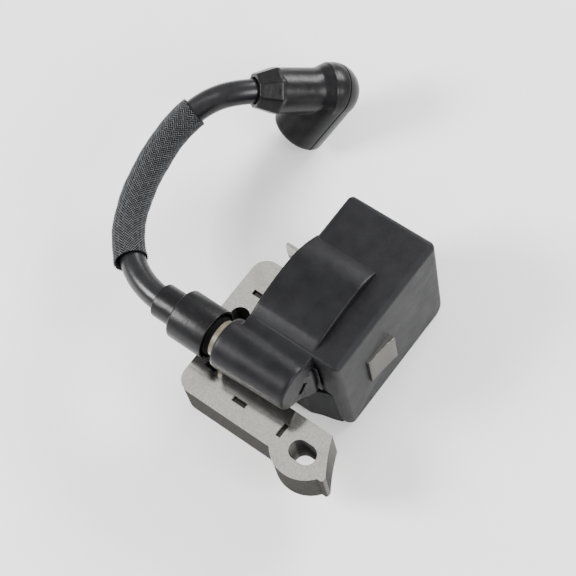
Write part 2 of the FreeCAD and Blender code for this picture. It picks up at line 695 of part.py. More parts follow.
def make_plug_boot():
    nose_length = size("nose_length")
    rim = ELBOW - BARREL_AXIS * (size("barrel_length") + nose_length)
    nose = aimed_cone("nose", "nose_radius", "barrel_radius", "nose_length", rim, BARREL_AXIS)
    barrel = aimed_rod("barrel", "barrel_radius", "barrel_length", rim + BARREL_AXIS * nose_length,
                       BARREL_AXIS)
    dome = doc.addObject("Part::Sphere", "dome")
    bind(dome, Radius="elbow_radius")
    dome.Placement = Placement(ELBOW, Rotation())
    skirt = aimed_cone("skirt", "elbow_radius", "skirt_radius", "skirt_length", ELBOW, SKIRT_AXIS)
    solid = fuse("boot_solid", [nose, barrel, dome, skirt])

    mouth = ELBOW + SKIRT_AXIS * size("skirt_length")
    lead_hole = aimed_rod("lead_hole", "lead_radius", "lead_depth + 1", rim - BARREL_AXIS,
                          BARREL_AXIS)
    pin_hole = aimed_rod("pin_hole", "pin_radius", "barrel_length + nose_length", rim,
                         BARREL_AXIS)
    plug_hole = aimed_rod("plug_hole", "plug_bore", "plug_depth + 1", mouth + SKIRT_AXIS,
                          -SKIRT_AXIS)
    seat = aimed_rod("cup_seat", "cup_radius", "cup_depth", mouth, -SKIRT_AXIS)
    keep(cut("plug_boot_body", solid, [lead_hole, pin_hole, plug_hole, seat]), "plug_boot")

    pin_start = rim + BARREL_AXIS * size("lead_depth")
    keep(aimed_rod("pin", "pin_radius", "barrel_length + nose_length - lead_depth - cup_floor",
                   pin_start, BARREL_AXIS), "plug_pin")

    cup_root = mouth - SKIRT_AXIS * size("cup_depth")
    cup = aimed_rod("cup", "cup_radius", "cup_length", cup_root, SKIRT_AXIS)
    cup_hole = aimed_rod("cup_hole", "cup_hole", "cup_length",
                         cup_root + SKIRT_AXIS * size("cup_floor"), SKIRT_AXIS)
    keep(cut("terminal", cup, [cup_hole]), "plug_terminal")


# ---- Build, check and write ----------------------------------------------------------------------

def check_and_write():
    doc.recompute()
    for item in doc.Objects:
        if "Invalid" in item.State or "Error" in item.State:
            raise RuntimeError(f"{item.Name} failed: {item.State}")
    for item in pieces:
        shape = item.Shape
        if shape.isNull() or not shape.isValid():
            raise RuntimeError(f"{item.Label} has no valid shape")
        print(f"{item.Label}: {len(shape.Solids)} solid, {shape.Volume:.0f} mm3")
    os.makedirs("parts", exist_ok=True)
    for item in pieces:
        item.Shape.exportStep(f"parts/{item.Label}.step")


pieces = []
fill_sheet()
make_core()
make_case()
make_coil()
make_circuit()
make_output()
make_resin()
make_lead()
make_plug_boot()
check_and_write()
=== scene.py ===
import math

import bmesh
import bpy
from mathutils import Matrix, Vector


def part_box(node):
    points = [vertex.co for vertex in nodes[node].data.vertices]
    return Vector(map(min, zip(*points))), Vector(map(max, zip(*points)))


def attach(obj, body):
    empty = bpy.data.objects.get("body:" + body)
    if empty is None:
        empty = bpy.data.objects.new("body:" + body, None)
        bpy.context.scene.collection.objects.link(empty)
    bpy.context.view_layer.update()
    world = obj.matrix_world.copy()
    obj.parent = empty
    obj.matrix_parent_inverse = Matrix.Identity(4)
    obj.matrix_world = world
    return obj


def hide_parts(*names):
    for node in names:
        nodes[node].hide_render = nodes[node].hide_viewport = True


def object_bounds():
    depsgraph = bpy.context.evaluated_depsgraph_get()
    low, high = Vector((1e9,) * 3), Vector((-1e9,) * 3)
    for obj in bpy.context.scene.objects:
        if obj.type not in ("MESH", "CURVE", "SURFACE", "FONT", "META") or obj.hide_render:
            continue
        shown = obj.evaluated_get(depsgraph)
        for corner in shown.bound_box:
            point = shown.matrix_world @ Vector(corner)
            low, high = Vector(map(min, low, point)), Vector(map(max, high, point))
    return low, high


# Ignition coil module: laminated core, potted coil case with its output tower, sleeved
# high-tension lead and spark plug boot. Lengths are written in millimetres and scaled by MM.

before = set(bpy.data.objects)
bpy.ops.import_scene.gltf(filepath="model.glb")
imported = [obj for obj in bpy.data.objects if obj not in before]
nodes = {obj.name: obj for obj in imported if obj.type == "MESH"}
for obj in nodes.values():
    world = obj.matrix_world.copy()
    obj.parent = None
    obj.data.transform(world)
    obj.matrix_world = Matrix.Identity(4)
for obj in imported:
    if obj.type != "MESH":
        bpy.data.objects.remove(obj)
cad_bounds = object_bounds()
MM = 0.001

# ---- Sizes ---------------------------------------------------------------------------------------

# The case's rim is the lowest level. The core's sheets are stacked evenly about z = 0.
STAND = cad_bounds[0][2] / MM
SHEET = 0.5
LOCK_FLOOR = 5.0

# Case: a box open below, of which the far side is set by the CAD housing.
CASE_X = (8.0, 35.15)
CASE_NEAR_Y = -2.6
CASE_TOP = 19.4
CASE_WALL = 1.6
CASE_RADII = [2.4, 4.0, 1.7, 1.2]
CASE_END_RADIUS = 1.8

# The coil leg of the core, with the gap that the case leaves around it.
LEG_Y = (7.8, 17.7)
LEG_Z = (-5.85, 5.85)

# Saddle over the box, and the output tower beside it. The tower's axis runs along X.
SADDLE_X = (7.4, 27.4)
SADDLE_REAR = 25.9
SADDLE_FOOT = 9.0
TOWER_Y = -9.7
TOWER_Z = 13.45
TOWER_FRONT = 4.7
TOWER_LENGTH = 22.9

# Lead: control points of its centre line, from the tower to the plug boot.
LEAD_RADIUS = 3.5
LEAD_ROUTE = [
    (12.0, -9.7, 13.45),
    (-6.0, -9.7, 13.45),
    (-24.0, -9.7, 13.1),
    (-37.0, -0.5, 11.4),
    (-44.0, 11.0, 9.4),
    (-47.8, 23.0, 8.2),
    (-48.9, 34.4, 8.8),
    (-45.6, 44.2, 11.7),
    (-38.4, 51.3, 14.1),
    (-32.2, 59.2, 9.0),
]

# Braided sleeve: the spots of its two ends near the lead, and its two families of strands.
SLEEVE_START = (-31.0, -4.8, 12.3)
SLEEVE_END = (-47.0, 40.6, 10.6)
SLEEVE_RADIUS = 4.45
SLEEVE_WALL = 0.55
CARRIERS = 34
STRAND_PITCH = 0.87
STRAND_WIDTH = 0.56
BRAID_RELIEF = 0.42

# Plug boot: a barrel on the lead and a skirt over the plug, which meet at the elbow.
ELBOW = Vector((-23.1, 70.5, 1.75))
BARREL = Vector((0.55, 0.70, -0.455)).normalized()
BARREL_REACH = 23.4
SKIRT = Vector((-0.351, -0.614, -0.708)).normalized()
SKIRT_LENGTH = 17.2
DOME_RADIUS = 7.9
SEAM_NORMAL = Vector((0.379, 0.598, -0.706)).normalized()
SEAM_HALF_WIDTH = 0.25


# ---- Meshes --------------------------------------------------------------------------------------

def add_object(name, data):
    item = bpy.data.objects.new(name, data)
    bpy.context.scene.collection.objects.link(item)
    return item


def smooth(mesh):
    for face in mesh.polygons:
        face.use_smooth = True


def from_bmesh(name, shape):
    """A smooth object from a bmesh in millimetres."""
    bmesh.ops.recalc_face_normals(shape, faces=shape.faces)
    mesh = bpy.data.meshes.new(name)
    shape.to_mesh(mesh)
    shape.free()
    mesh.transform(Matrix.Scale(MM, 4))
    smooth(mesh)
    return add_object(name, mesh)


def slab(name, low, high, rounding=0.0):
    """A box between two corners with all its edges rounded."""
    shape = bmesh.new()
    bmesh.ops.create_cube(shape, size=1.0)
    low, high = Vector(low), Vector(high)
    bmesh.ops.scale(shape, vec=high - low, verts=shape.verts)
    bmesh.ops.translate(shape, vec=(low + high) / 2, verts=shape.verts)
    if rounding:
        bmesh.ops.bevel(shape, geom=shape.edges[:], offset=rounding, segments=2,
                        affect="EDGES", profile=0.5)
    return from_bmesh(name, shape)


def lathe(name, profile, start, direction, sides=96, phase=0.0):
    """A closed solid of revolution: profile holds (distance along the axis, radius) pairs."""
    shape = bmesh.new()
    turn = Vector((0, 0, 1)).rotation_difference(Vector(direction).normalized())
    rings = []
    for along, radius in profile:
        ring = []
        for i in range(sides if radius > 1e-6 else 1):
            angle = 2 * math.pi * (i + phase) / sides
            local = Vector((radius * math.cos(angle), radius * math.sin(angle), along))
            ring.append(shape.verts.new(turn @ local + Vector(start)))
        rings.append(ring)
    is_tube = len(rings[0]) > 1
    pairs = zip(rings, rings[1:] + rings[:1]) if is_tube else zip(rings, rings[1:])
    for first, second in pairs:
        for i in range(sides):
            j = (i + 1) % sides
            if len(first) == 1:
                shape.faces.new((first[0], second[j], second[i]))
            elif len(second) == 1:
                shape.faces.new((first[i], first[j], second[0]))
            else:
                shape.faces.new((first[i], first[j], second[j], second[i]))
    return from_bmesh(name, shape)


def bend(start, control, end, t):
    """The point at t, from 0 to 1, of a quadratic curve."""
    return start * (1 - t) ** 2 + control * (2 * t * (1 - t)) + end * t * t


def curve(start, control, end, steps=24):
    """Points of a quadratic curve, without its first one."""
    start, control, end = Vector(start), Vector(control), Vector(end)
    return [bend(start, control, end, step / steps) for step in range(1, steps + 1)]


def soften(points, radius, steps=5, closed=False):
    """Round the corners of a polyline of 2-D points: one radius, or one for each point."""
    points = [Vector(p) for p in points]
    count = len(points)
    radii = radius if isinstance(radius, list) else [radius] * count
    result = []
    for i, corner in enumerate(points):
        if not closed and i in (0, count - 1):
            result.append(corner)
            continue
        before = points[i - 1] - corner
        after = points[(i + 1) % count] - corner
        half = before.angle(after) / 2
        reach = min(radii[i] / math.tan(half), before.length * 0.45, after.length * 0.45)
        entry = corner + before.normalized() * reach
        leave = corner + after.normalized() * reach
        result += [bend(entry, corner, leave, step / steps) for step in range(steps + 1)]
    return result


def loft(name, outlines):
    """A closed skin through outlines of 3-D points that all have the same count."""
    shape = bmesh.new()
    rings = [[shape.verts.new(point) for point in outline] for outline in outlines]
    count = len(rings[0])
    for first, second in zip(rings, rings[1:]):
        for i in range(count):
            j = (i + 1) % count
            shape.faces.new((first[i], first[j], second[j], second[i]))
    shape.faces.new(rings[0])
    shape.faces.new(rings[-1][::-1])
    return from_bmesh(name, shape)


def prism(name, outline, start, end, far_outline=None):
    """A prism along X over (Y, Z) points, or between two outlines of them."""
    return loft(name, [[(start, *p) for p in outline], [(end, *p) for p in far_outline or outline]])


def quarter(edge, steps=6):
    """(Depth, inset) pairs of a rounded edge, from its side to its flat face."""
    turns = [math.pi / 2 * step / steps for step in range(steps + 1)]
    return [(edge * (1 - math.sin(turn)), edge * (1 - math.cos(turn))) for turn in turns]


def case_block(name, low, high, radii, edge):
    """A block whose X ends are rounded by edge, except along its lowest face.

    radii holds the corner radii in the Y-Z plane: front low, rear low, rear top, front top.
    """
    outlines = []
    near = [(low.x + depth, inset) for depth, inset in quarter(edge)[::-1]]
    far = [(low.x + high.x - x, inset) for x, inset in near[::-1]]
    for x, inset in near + far:
        front, rear, top = low.y + inset, high.y - inset, high.z - inset
        ring = soften([(front, low.z), (rear, low.z), (rear, top), (front, top)],
                      [max(radius - inset, 0.3) for radius in radii], steps=8, closed=True)
        outlines.append([(x, *p) for p in ring])
    return loft(name, outlines)


def plan_block(name, outline, low, high, edge, top_outline=None):
    """A block along Z over (X, Y) points, its upper edge rounded."""
    upper = [Vector(p) for p in top_outline or outline]
    middle = sum(upper, Vector((0, 0))) / len(upper)
    outlines = [[(*p, low) for p in outline]]
    for depth, inset in quarter(edge):
        outlines.append([(*(p + (middle - p).normalized() * inset), high - depth) for p in upper])
    return loft(name, outlines)


def settle(piece):
    """Replace a piece's mesh by what its modifiers make of it."""
    bpy.context.view_layer.update()
    graph = bpy.context.evaluated_depsgraph_get()
    mesh = bpy.data.meshes.new_from_object(piece.evaluated_get(graph))
    piece.modifiers.clear()
    piece.data = mesh
    smooth(mesh)
    return piece


def merge(name, parts, cell, smoothing):
    """One skin over overlapping closed parts, with its creases rounded."""
    shape = bmesh.new()
    for part in parts:
        shape.from_mesh(part.data)
        bpy.data.objects.remove(part)
    mesh = bpy.data.meshes.new(name)
    shape.to_mesh(mesh)
    shape.free()
    piece = add_object(name, mesh)
    skin = piece.modifiers.new("skin", "REMESH")
    skin.mode = "VOXEL"
    skin.voxel_size = cell * MM
    skin.use_smooth_shade = True
    relax = piece.modifiers.new("relax", "SMOOTH")
    relax.factor = 0.5
    relax.iterations = smoothing
    return settle(piece)


def carve(piece, tools):
    """Cut closed tools out of a piece."""
    for tool in tools:
        knife = piece.modifiers.new("knife", "BOOLEAN")
        knife.operation = "DIFFERENCE"
        knife.solver = "EXACT"
        knife.object = tool
        settle(piece)
        bpy.data.objects.remove(tool)
    return piece


def split_shading(piece, degrees):
    """Keep edges sharper than this angle crisp."""
    limit = math.radians(degrees)
    shape = bmesh.new()
    shape.from_mesh(piece.data)
    for edge in shape.edges:
        edge.smooth = len(edge.link_faces) == 2 and edge.calc_face_angle(0.0) < limit
    shape.to_mesh(piece.data)
    shape.free()


def paint(piece, finish):
    piece.data.materials.clear()
    piece.data.materials.append(finish)


def place(piece, stands_for, finish):
    """Put a piece on the model in place of its CAD node."""
    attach(piece, "root")
    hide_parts(stands_for)
    paint(piece, finish)
    return piece


# ---- Materials -----------------------------------------------------------------------------------

class Finish:
    """A material whose nodes are added one call at a time."""

    def __init__(self, name):
        self.material = bpy.data.materials.new(name)
        self.material.use_nodes = True
        self.tree = self.material.node_tree
        self.tree.nodes.clear()
        self.shader = self.add("ShaderNodeBsdfPrincipled")
        output = self.add("ShaderNodeOutputMaterial")
        self.tree.links.new(self.shader.outputs[0], output.inputs["Surface"])
        self.spot = self.add("ShaderNodeTexCoord").outputs["Object"]

    def add(self, kind, **values):
        node = self.tree.nodes.new(kind)
        for key, value in values.items():
            setattr(node, key, value)
        return node

    def feed(self, socket, value):
        """Link a node's output to a socket, or set the socket to a plain value."""
        if isinstance(value, bpy.types.NodeSocket):
            self.tree.links.new(value, socket)
        else:
            socket.default_value = value

    def set(self, **inputs):
        """Feed the shader's inputs, named with underscores for spaces."""
        for key, value in inputs.items():
            self.feed(self.shader.inputs[key.replace("_", " ")], value)

    def noise(self, size, detail=3.0, rough=0.55):
        """Noise from 0 to 1 whose blotches are about size millimetres across."""
        noise = self.add("ShaderNodeTexNoise")
        self.feed(noise.inputs["Vector"], self.spot)
        noise.inputs["Scale"].default_value = 1.0 / (size * MM)
        noise.inputs["Detail"].default_value = detail
        noise.inputs["Roughness"].default_value = rough
        return noise.outputs[0]

    def specks(self, size):
        """Distance from the nearest of scattered points that are about size millimetres apart."""
        cells = self.add("ShaderNodeTexVoronoi")
        self.feed(cells.inputs["Vector"], self.spot)
        cells.inputs["Scale"].default_value = 1.0 / (size * MM)
        return cells.outputs["Distance"]

    def span(self, value, low, high, to_low=0.0, to_high=1.0):
        """Stretch the range low to high onto another range, and hold it there."""
        ranged = self.add("ShaderNodeMapRange")
        for socket, number in zip(ranged.inputs[1:5], (low, high, to_low, to_high)):
            socket.default_value = number
        self.feed(ranged.inputs[0], value)
        return ranged.outputs[0]

    def maths(self, operation, first, second=0.0):
        node = self.add("ShaderNodeMath", operation=operation)
        self.feed(node.inputs[0], first)
        self.feed(node.inputs[1], second)
        return node.outputs[0]

    def times(self, first, second):
        return self.maths("MULTIPLY", first, second)

    def mix(self, amount, first, second):
        """Blend two colours, each an output or a tuple of three numbers."""
        node = self.add("ShaderNodeMix", data_type="RGBA")
        self.feed(node.inputs[0], amount)
        for socket, colour in ((node.inputs[6], first), (node.inputs[7], second)):
            self.feed(socket, (*colour, 1.0) if isinstance(colour, tuple) else colour)
        return node.outputs[2]

    def attribute(self, name):
        return self.add("ShaderNodeAttribute", attribute_name=name).outputs["Fac"]

    def split(self, vector):
        """The X, Y and Z outputs of a vector."""
        node = self.add("ShaderNodeSeparateXYZ")
        self.feed(node.inputs[0], vector)
        return node.outputs

    def bump(self, height, depth, strength=1.0, under=None):
        """Relief of that depth in millimetres, on top of another relief."""
        node = self.add("ShaderNodeBump")
        node.inputs["Distance"].default_value = depth * MM
        self.feed(node.inputs["Strength"], strength)
        self.feed(node.inputs["Height"], height)
        if under is not None:
            self.feed(node.inputs["Normal"], under)
        return node.outputs[0]


def plain_finish(name, dark, light, rough, metal=0.0, blotch=3.0, grain=0.25, relief=0.01):
    """Two tones in soft blotches, uneven gloss and a fine grain."""
    finish = Finish(name)
    blotches = finish.noise(blotch)
    fine = finish.noise(grain, detail=2.0)
    finish.set(
        Base_Color=finish.mix(finish.span(blotches, 0.3, 0.7), dark, light),
        Roughness=finish.span(finish.noise(blotch * 0.6), 0.25, 0.75, rough - 0.07, rough + 0.07),
        Metallic=metal,
        Normal=finish.bump(fine, relief),
    )
    return finish.material


def case_finish(name, gloss):
    """Black glass-filled nylon with a little dust: grained where polish is 0, smoother at 1."""
    finish = Finish(name)
    polish = finish.attribute("polish")
    grain = finish.noise(0.22, detail=2.0)
    flow = finish.noise(5.0, detail=4.0)
    dust = finish.span(finish.specks(1.1), 0.05, 0.09, 1.0, 0.0)
    dust = finish.times(dust, finish.span(finish.noise(7.0), 0.52, 0.62))
    tone = finish.mix(finish.span(flow, 0.3, 0.7), (0.005, 0.005, 0.006), (0.009, 0.009, 0.0105))
    tone = finish.mix(finish.times(dust, 0.25), tone, (0.06, 0.06, 0.06))
    rough = finish.span(flow, 0.25, 0.75, 0.40, 0.52)
    rough = finish.maths("SUBTRACT", rough, finish.times(polish, 0.07))
    coarse = finish.bump(finish.noise(2.4, detail=3.0), 0.05)
    depth = finish.span(polish, 0.0, 1.0, 1.0, 0.25)
    finish.set(Base_Color=tone, Roughness=rough, Specular_IOR_Level=gloss,
               Normal=finish.bump(grain, 0.08, depth, coarse))
    return finish.material


def core_finish():
    """Punched electrical steel: satin faces, and the sheets' dull edges on the sides."""
    finish = Finish("core_steel")
    level = finish.split(finish.spot)[2]
    geometry = finish.add("ShaderNodeNewGeometry")
    normal = finish.split(geometry.outputs["True Normal"])
    side = finish.span(finish.maths("ABSOLUTE", normal[2]), 0.35, 0.65, 1.0, 0.0)
    # Mask of the faces that look along X; these get painted light.
    end = finish.span(finish.maths("ABSOLUTE", normal[0]), 0.85, 0.95)

    # Dark joints between the sheets, slightly wavy.
    sheet = finish.times(level, 1.0 / (SHEET * MM))
    sheet = finish.maths("ADD", sheet, finish.times(finish.noise(9.0), 0.25))
    gap = finish.maths("ABSOLUTE", finish.maths("SUBTRACT", finish.maths("FRACT", sheet), 0.5))
    joint = finish.times(finish.span(gap, 0.36, 0.5), side)

    # Bright flecked faces with stains, dull sides, and both X ends painted a little lighter than the
    # sides: painted light.
    fleck = finish.noise(0.4, detail=3.0, rough=0.6)
    stain = finish.span(finish.noise(7.0, detail=4.0), 0.55, 0.8)
    tone = finish.mix(finish.span(fleck, 0.35, 0.65), (0.66, 0.652, 0.605), (0.84, 0.83, 0.77))
    tone = finish.mix(finish.times(stain, 0.35), tone, (0.36, 0.34, 0.28))
    dull = finish.mix(finish.span(fleck, 0.3, 0.7), (0.045, 0.044, 0.041), (0.085, 0.083, 0.079))
    dull = finish.mix(end, dull, finish.mix(fleck, (0.13, 0.127, 0.118), (0.19, 0.186, 0.174)))
    tone = finish.mix(side, tone, dull)
    tone = finish.mix(finish.times(joint, 0.7), tone, (0.02, 0.019, 0.017))

    # The stamped interlocks' recessed floors are painted dark: painted shade in the recesses.
    painted_lock_shade = finish.span(level, LOCK_FLOOR * MM, (LOCK_FLOOR + 0.1) * MM, 1.0, 0.0)
    painted_lock_shade = finish.times(painted_lock_shade, finish.span(normal[2], 0.35, 0.65))
    tone = finish.mix(finish.times(painted_lock_shade, 0.92), tone, (0.02, 0.018, 0.016))

    faces = finish.bump(finish.noise(6.0, detail=2.0), 0.03)
    finish.set(
        Base_Color=tone,
        Metallic=finish.span(side, 0.0, 1.0, 1.0, 0.0),
        Roughness=finish.span(fleck, 0.3, 0.7, 0.11, 0.17),
        Specular_IOR_Level=0.0,
        Normal=finish.bump(finish.times(joint, -1.0), 0.10, 1.0, faces),
    )
    return finish.material


def rubber_finish(name, point, normal, half_width):
    """Black moulded rubber with a faint bloom, and a near-black band of painted shade where a plane
    cuts it.

    The plane goes through point, and the line reaches half_width to each side of it.
    """
    finish = Finish(name)
    cloud = finish.noise(4.0, detail=4.0)
    tone = finish.mix(finish.span(cloud, 0.3, 0.7), (0.003, 0.003, 0.0035), (0.006, 0.006, 0.0068))
    bloom = finish.span(finish.noise(1.3, detail=5.0), 0.58, 0.72)
    tone = finish.mix(finish.times(bloom, 0.10), tone, (0.06, 0.06, 0.06))
    relief = finish.bump(finish.noise(0.3, detail=2.0), 0.007)
    relief = finish.bump(finish.noise(2.5, detail=2.0), 0.08, 1.0, relief)
    rough = finish.span(cloud, 0.25, 0.75, 0.28, 0.38)

    blur = 0.09
    offset = finish.add("ShaderNodeVectorMath", operation="SUBTRACT")
    finish.feed(offset.inputs[0], finish.spot)
    offset.inputs[1].default_value = point * MM
    dot = finish.add("ShaderNodeVectorMath", operation="DOT_PRODUCT")
    finish.feed(dot.inputs[0], offset.outputs[0])
    dot.inputs[1].default_value = normal
    # Band of painted shade across the plane, also sunk a little in the relief.
    line = finish.span(finish.maths("ABSOLUTE", dot.outputs["Value"]),
                       (half_width - blur) * MM, (half_width + blur) * MM, 1.0, 0.0)
    finish.set(
        Base_Color=finish.mix(line, tone, (0.0005, 0.0005, 0.0005)),
        Roughness=finish.maths("MAXIMUM", rough, line),
        Specular_IOR_Level=0.24,
        Normal=finish.bump(finish.times(line, -1.0), 0.25, 1.0, relief),
    )
    return finish.material


def braid_finish():
    """Grey-black polyester yarn: each strand a little different, with painted shade between and
    under the strands.
    """
    finish = Finish("braid")
    yarn = finish.mix(finish.attribute("strand"), (0.070, 0.072, 0.076), (0.115, 0.118, 0.124))
    # Low parts of the relief, between and under the strands, are painted near-black as painted
    # shade.
    shade_by_height = finish.span(finish.attribute("height"), 0.1, 0.55)
    fibres = finish.noise(0.12, detail=2.0)
    finish.set(
        Base_Color=finish.mix(shade_by_height, (0.0008, 0.0008, 0.0009), yarn),
        Roughness=finish.span(fibres, 0.3, 0.7, 0.48, 0.62),
        Specular_IOR_Level=0.12,
        Normal=finish.bump(fibres, 0.03),
    )
    return finish.material


def jacket_finish():
    """Smooth black lead jacket with long faint streaks of gloss."""
    finish = Finish("lead_jacket")
    streaks = finish.noise(2.0, detail=4.0)
    finish.set(
        Base_Color=finish.mix(finish.span(streaks, 0.3, 0.7), (0.005, 0.005, 0.006),
                              (0.010, 0.010, 0.011)),
        Specular_IOR_Level=0.4,
        Roughness=finish.span(finish.noise(3.0), 0.25, 0.75, 0.24, 0.36),
        Normal=finish.bump(finish.noise(0.8, detail=3.0), 0.03),
    )
    return finish.material


# ---- Core ----------------------------------------------------------------------------------------

def make_core():
    core = nodes["core_laminations"]
    paint(core, core_finish())
    weld = core.modifiers.new("weld", "WELD")
    weld.merge_threshold = 0.001 * MM
    edge = core.modifiers.new("edge", "BEVEL")
    edge.width = 0.14 * MM
    edge.segments = 2
    edge.limit_method = "ANGLE"
    edge.angle_limit = math.radians(40)
    edge.harden_normals = True


# ---- Case with saddle and tower ------------------------------------------------------------------

def make_box():
    """The coil's box, hollow below and open where the coil leg goes through."""
    rear = (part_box("housing")[1] / MM).y
    box = case_block("case_box", Vector((CASE_X[0], CASE_NEAR_Y, STAND)),
                     Vector((CASE_X[1], rear, CASE_TOP)), CASE_RADII, CASE_END_RADIUS)
    cavity = slab("cavity", (CASE_X[0] + CASE_WALL, CASE_NEAR_Y + CASE_WALL, STAND - 2),
                  (33.2, 38.6, CASE_TOP - CASE_WALL))
    tunnel = slab("tunnel", (7.0, LEG_Y[0], LEG_Z[0]), (36.0, LEG_Y[1], LEG_Z[1]))
    return carve(box, [cavity, tunnel])


def make_lobe():
    """The low bulge on the box's near side, below the tower's end."""
    foot = [(8.1, -5.2), (24.0, -5.25), (26.8, -4.2), (30.2, -3.4), (32.6, -2.62), (32.6, -1.2),
            (8.1, -1.2)]
    top = [(8.1, -5.0), (24.0, -5.0), (26.8, -4.1), (29.4, -3.0), (31.6, -2.62), (31.6, -1.2),
           (8.1, -1.2)]
    return plan_block("case_lobe", soften(foot, 0.5, closed=True), STAND + 0.1, -0.6, 0.25,
                      top_outline=soften(top, 0.5, closed=True))


def make_rib():
    """The thin upright rib in the corner between the box and the tower's end."""
    return plan_block("case_rib", [(26.4, -3.6), (28.9, -3.5), (29.1, -3.35), (28.9, -3.2),
                                   (26.4, -3.1)], 2.0, 15.2, 0.12)


def head_outline(tower_radius):
    """Saddle, the hollow between saddle and tower, and the web, as (Y, Z) points."""
    centre = Vector((TOWER_Y, TOWER_Z))
    meeting = centre + Vector((3.7, 6.15)).normalized() * tower_radius
    rear = Vector((SADDLE_REAR, 18.9))
    saddle = [rear] + curve(rear, (20.8, 22.6), (14.0, 22.25))
    saddle += curve(saddle[-1], (6.5, 21.86), (1.4, 20.5))
    hollow = curve(saddle[-1], (-3.6, 18.2), meeting, steps=14)
    underside = [Vector((y, SADDLE_FOOT)) for y in (-9.0, -4.0, SADDLE_REAR)]
    return saddle + hollow + [centre] + underside


def make_head():
    """Saddle, tower, the web that carries the tower, and the flare at the tower's end."""
    saddle = prism("saddle", head_outline(7.1), *SADDLE_X, far_outline=head_outline(6.6))
    tower = lathe("tower",
                  soften([(0.0, 0.0), (0.0, 7.2), (TOWER_LENGTH, 6.5), (TOWER_LENGTH, 0.0)], 0.9),
                  (TOWER_FRONT, TOWER_Y, TOWER_Z), (1, 0, 0), sides=160)
    web = prism("web", [(-14.8, 9.9), (-11.9, 8.0), (-2.3, -1.0), (0.0, -1.0), (0.0, 17.0),
                        (TOWER_Y, 17.0)], 8.1, SADDLE_X[1])
    flare = plan_block("flare", [(26.0, -8.0), (27.4, -7.4), (28.5, -4.9), (28.3, -3.9),
                                 (26.0, -3.9)], 2.8, 14.5, 0.3)
    head = merge("case_head", [saddle, tower, web, flare], 0.24, 14)

    # The saddle's front end slants back toward the far side.
    slant, side, reach, behind = 0.62, 10.0, 14.0, 12.0
    for vertex in head.data.vertices:
        x, y = (vertex.co / MM)[:2]
        if x < behind and y > side:
            inward = min((y - side) / reach, 1.0) ** 2
            vertex.co.x += slant * inward * (behind - x) / (behind - SADDLE_X[0]) * MM

    bore_radius, bore_depth = 5.2, 16.4
    bore = lathe("bore", [(0, 0), (0, bore_radius), (bore_depth, bore_radius), (bore_depth, 0)],
                 (TOWER_FRONT - 1.0, TOWER_Y, TOWER_Z), (1, 0, 0), sides=160)
    slot = slab("slot", (23.4, -1.75, -0.85), (28.5, 1.75, 0.85), rounding=0.2)
    slot.matrix_world = (Matrix.Translation(Vector((0.0, -8.3, 10.55)) * MM)
                         @ Matrix.Rotation(math.radians(37.5), 4, "X"))
    return carve(head, [bore, slot])


def make_case():
    box, lobe, rib, head = make_box(), make_lobe(), make_rib(), make_head()
    moulded = case_finish("case_plastic", 0.2)
    # The lobe gets a less glossy copy of the case plastic so it reads darker: a shaded copy standing
    # in for shade below the tower's end.
    shade_copy = case_finish("case_plastic_shade_copy", 0.08)
    for piece, polished, finish in ((box, 0.0, moulded), (lobe, 0.2, shade_copy),
                                    (rib, 0.6, moulded), (head, 1.0, moulded)):
        polish = piece.data.attributes.new("polish", "FLOAT", "POINT")
        for value in polish.data:
            value.value = polished
        split_shading(piece, 70)
        place(piece, "housing", finish)


# ---- Output side ---------------------------------------------------------------------------------

def make_output():
    """The stepped boot on the lead and the bush behind it, both on the tower's axis.

    The boot's profile runs from its lip in the tower over the flange and the collar to the neck.
    """
    outer = soften([(19.5, 5.2), (19.5, 5.4), (16.0, 5.5), (16.0, 6.3), (18.2, 6.4), (18.2, 6.95),
                    (6.9, 6.95), (6.9, 4.8), (0.0, 4.75), (0.0, 3.55)],
                   [0.1, 0.1, 0.3, 0.3, 0.15, 0.4, 0.8, 0.8, 0.5, 0.0])
    boot = lathe("seal_boot_rubber", outer + [Vector((16.9, 3.55)), Vector((16.9, 5.2))],
                 (-16.7, TOWER_Y, TOWER_Z), (1, 0, 0), sides=128)
    split_shading(boot, 50)
    # The neck behind the flange is painted near-black: painted shade under the flange.
    neck = Vector((2.25, 0, 0))
    place(boot, "seal_boot", rubber_finish("boot_rubber", neck, (1, 0, 0), 0.66))

    ring = soften([(0.0, 3.6), (0.0, 5.15), (12.1, 5.15), (12.1, 3.6)], 0.3, closed=True)
    bush = lathe("bush_ring", ring, (0.9, TOWER_Y, TOWER_Z), (1, 0, 0), sides=128)
    split_shading(bush, 50)
    nylon = plain_finish("bush_nylon", (0.12, 0.107, 0.070), (0.165, 0.148, 0.100), 0.42,
                         blotch=2.0)
    place(bush, "tower_bush", nylon)


# ---- Lead and sleeve -----------------------------------------------------------------------------

def make_lead():
    """The lead as a curve, and the points of its centre line in metres."""
    data = bpy.data.curves.new("ht_lead", "CURVE")
    data.dimensions = "3D"
    spline = data.splines.new("NURBS")
    spline.points.add(len(LEAD_ROUTE) - 1)
    for point, spot in zip(spline.points, LEAD_ROUTE):
        point.co = (*(Vector(spot) * MM), 1.0)
        point.radius = LEAD_RADIUS * MM
    spline.order_u = 3
    spline.use_endpoint_u = True
    data.resolution_u = 24
    lead = add_object("ht_lead_line", data)
    line = bpy.data.meshes.new_from_object(lead)
    path = [vertex.co.copy() for vertex in line.vertices]

    # Each point's radius is the lead's own, so the bevel's depth is 1.
    data.bevel_depth = 1.0
    data.bevel_resolution = 12
    data.use_fill_caps = True
    return place(lead, "ht_lead", jacket_finish()), path


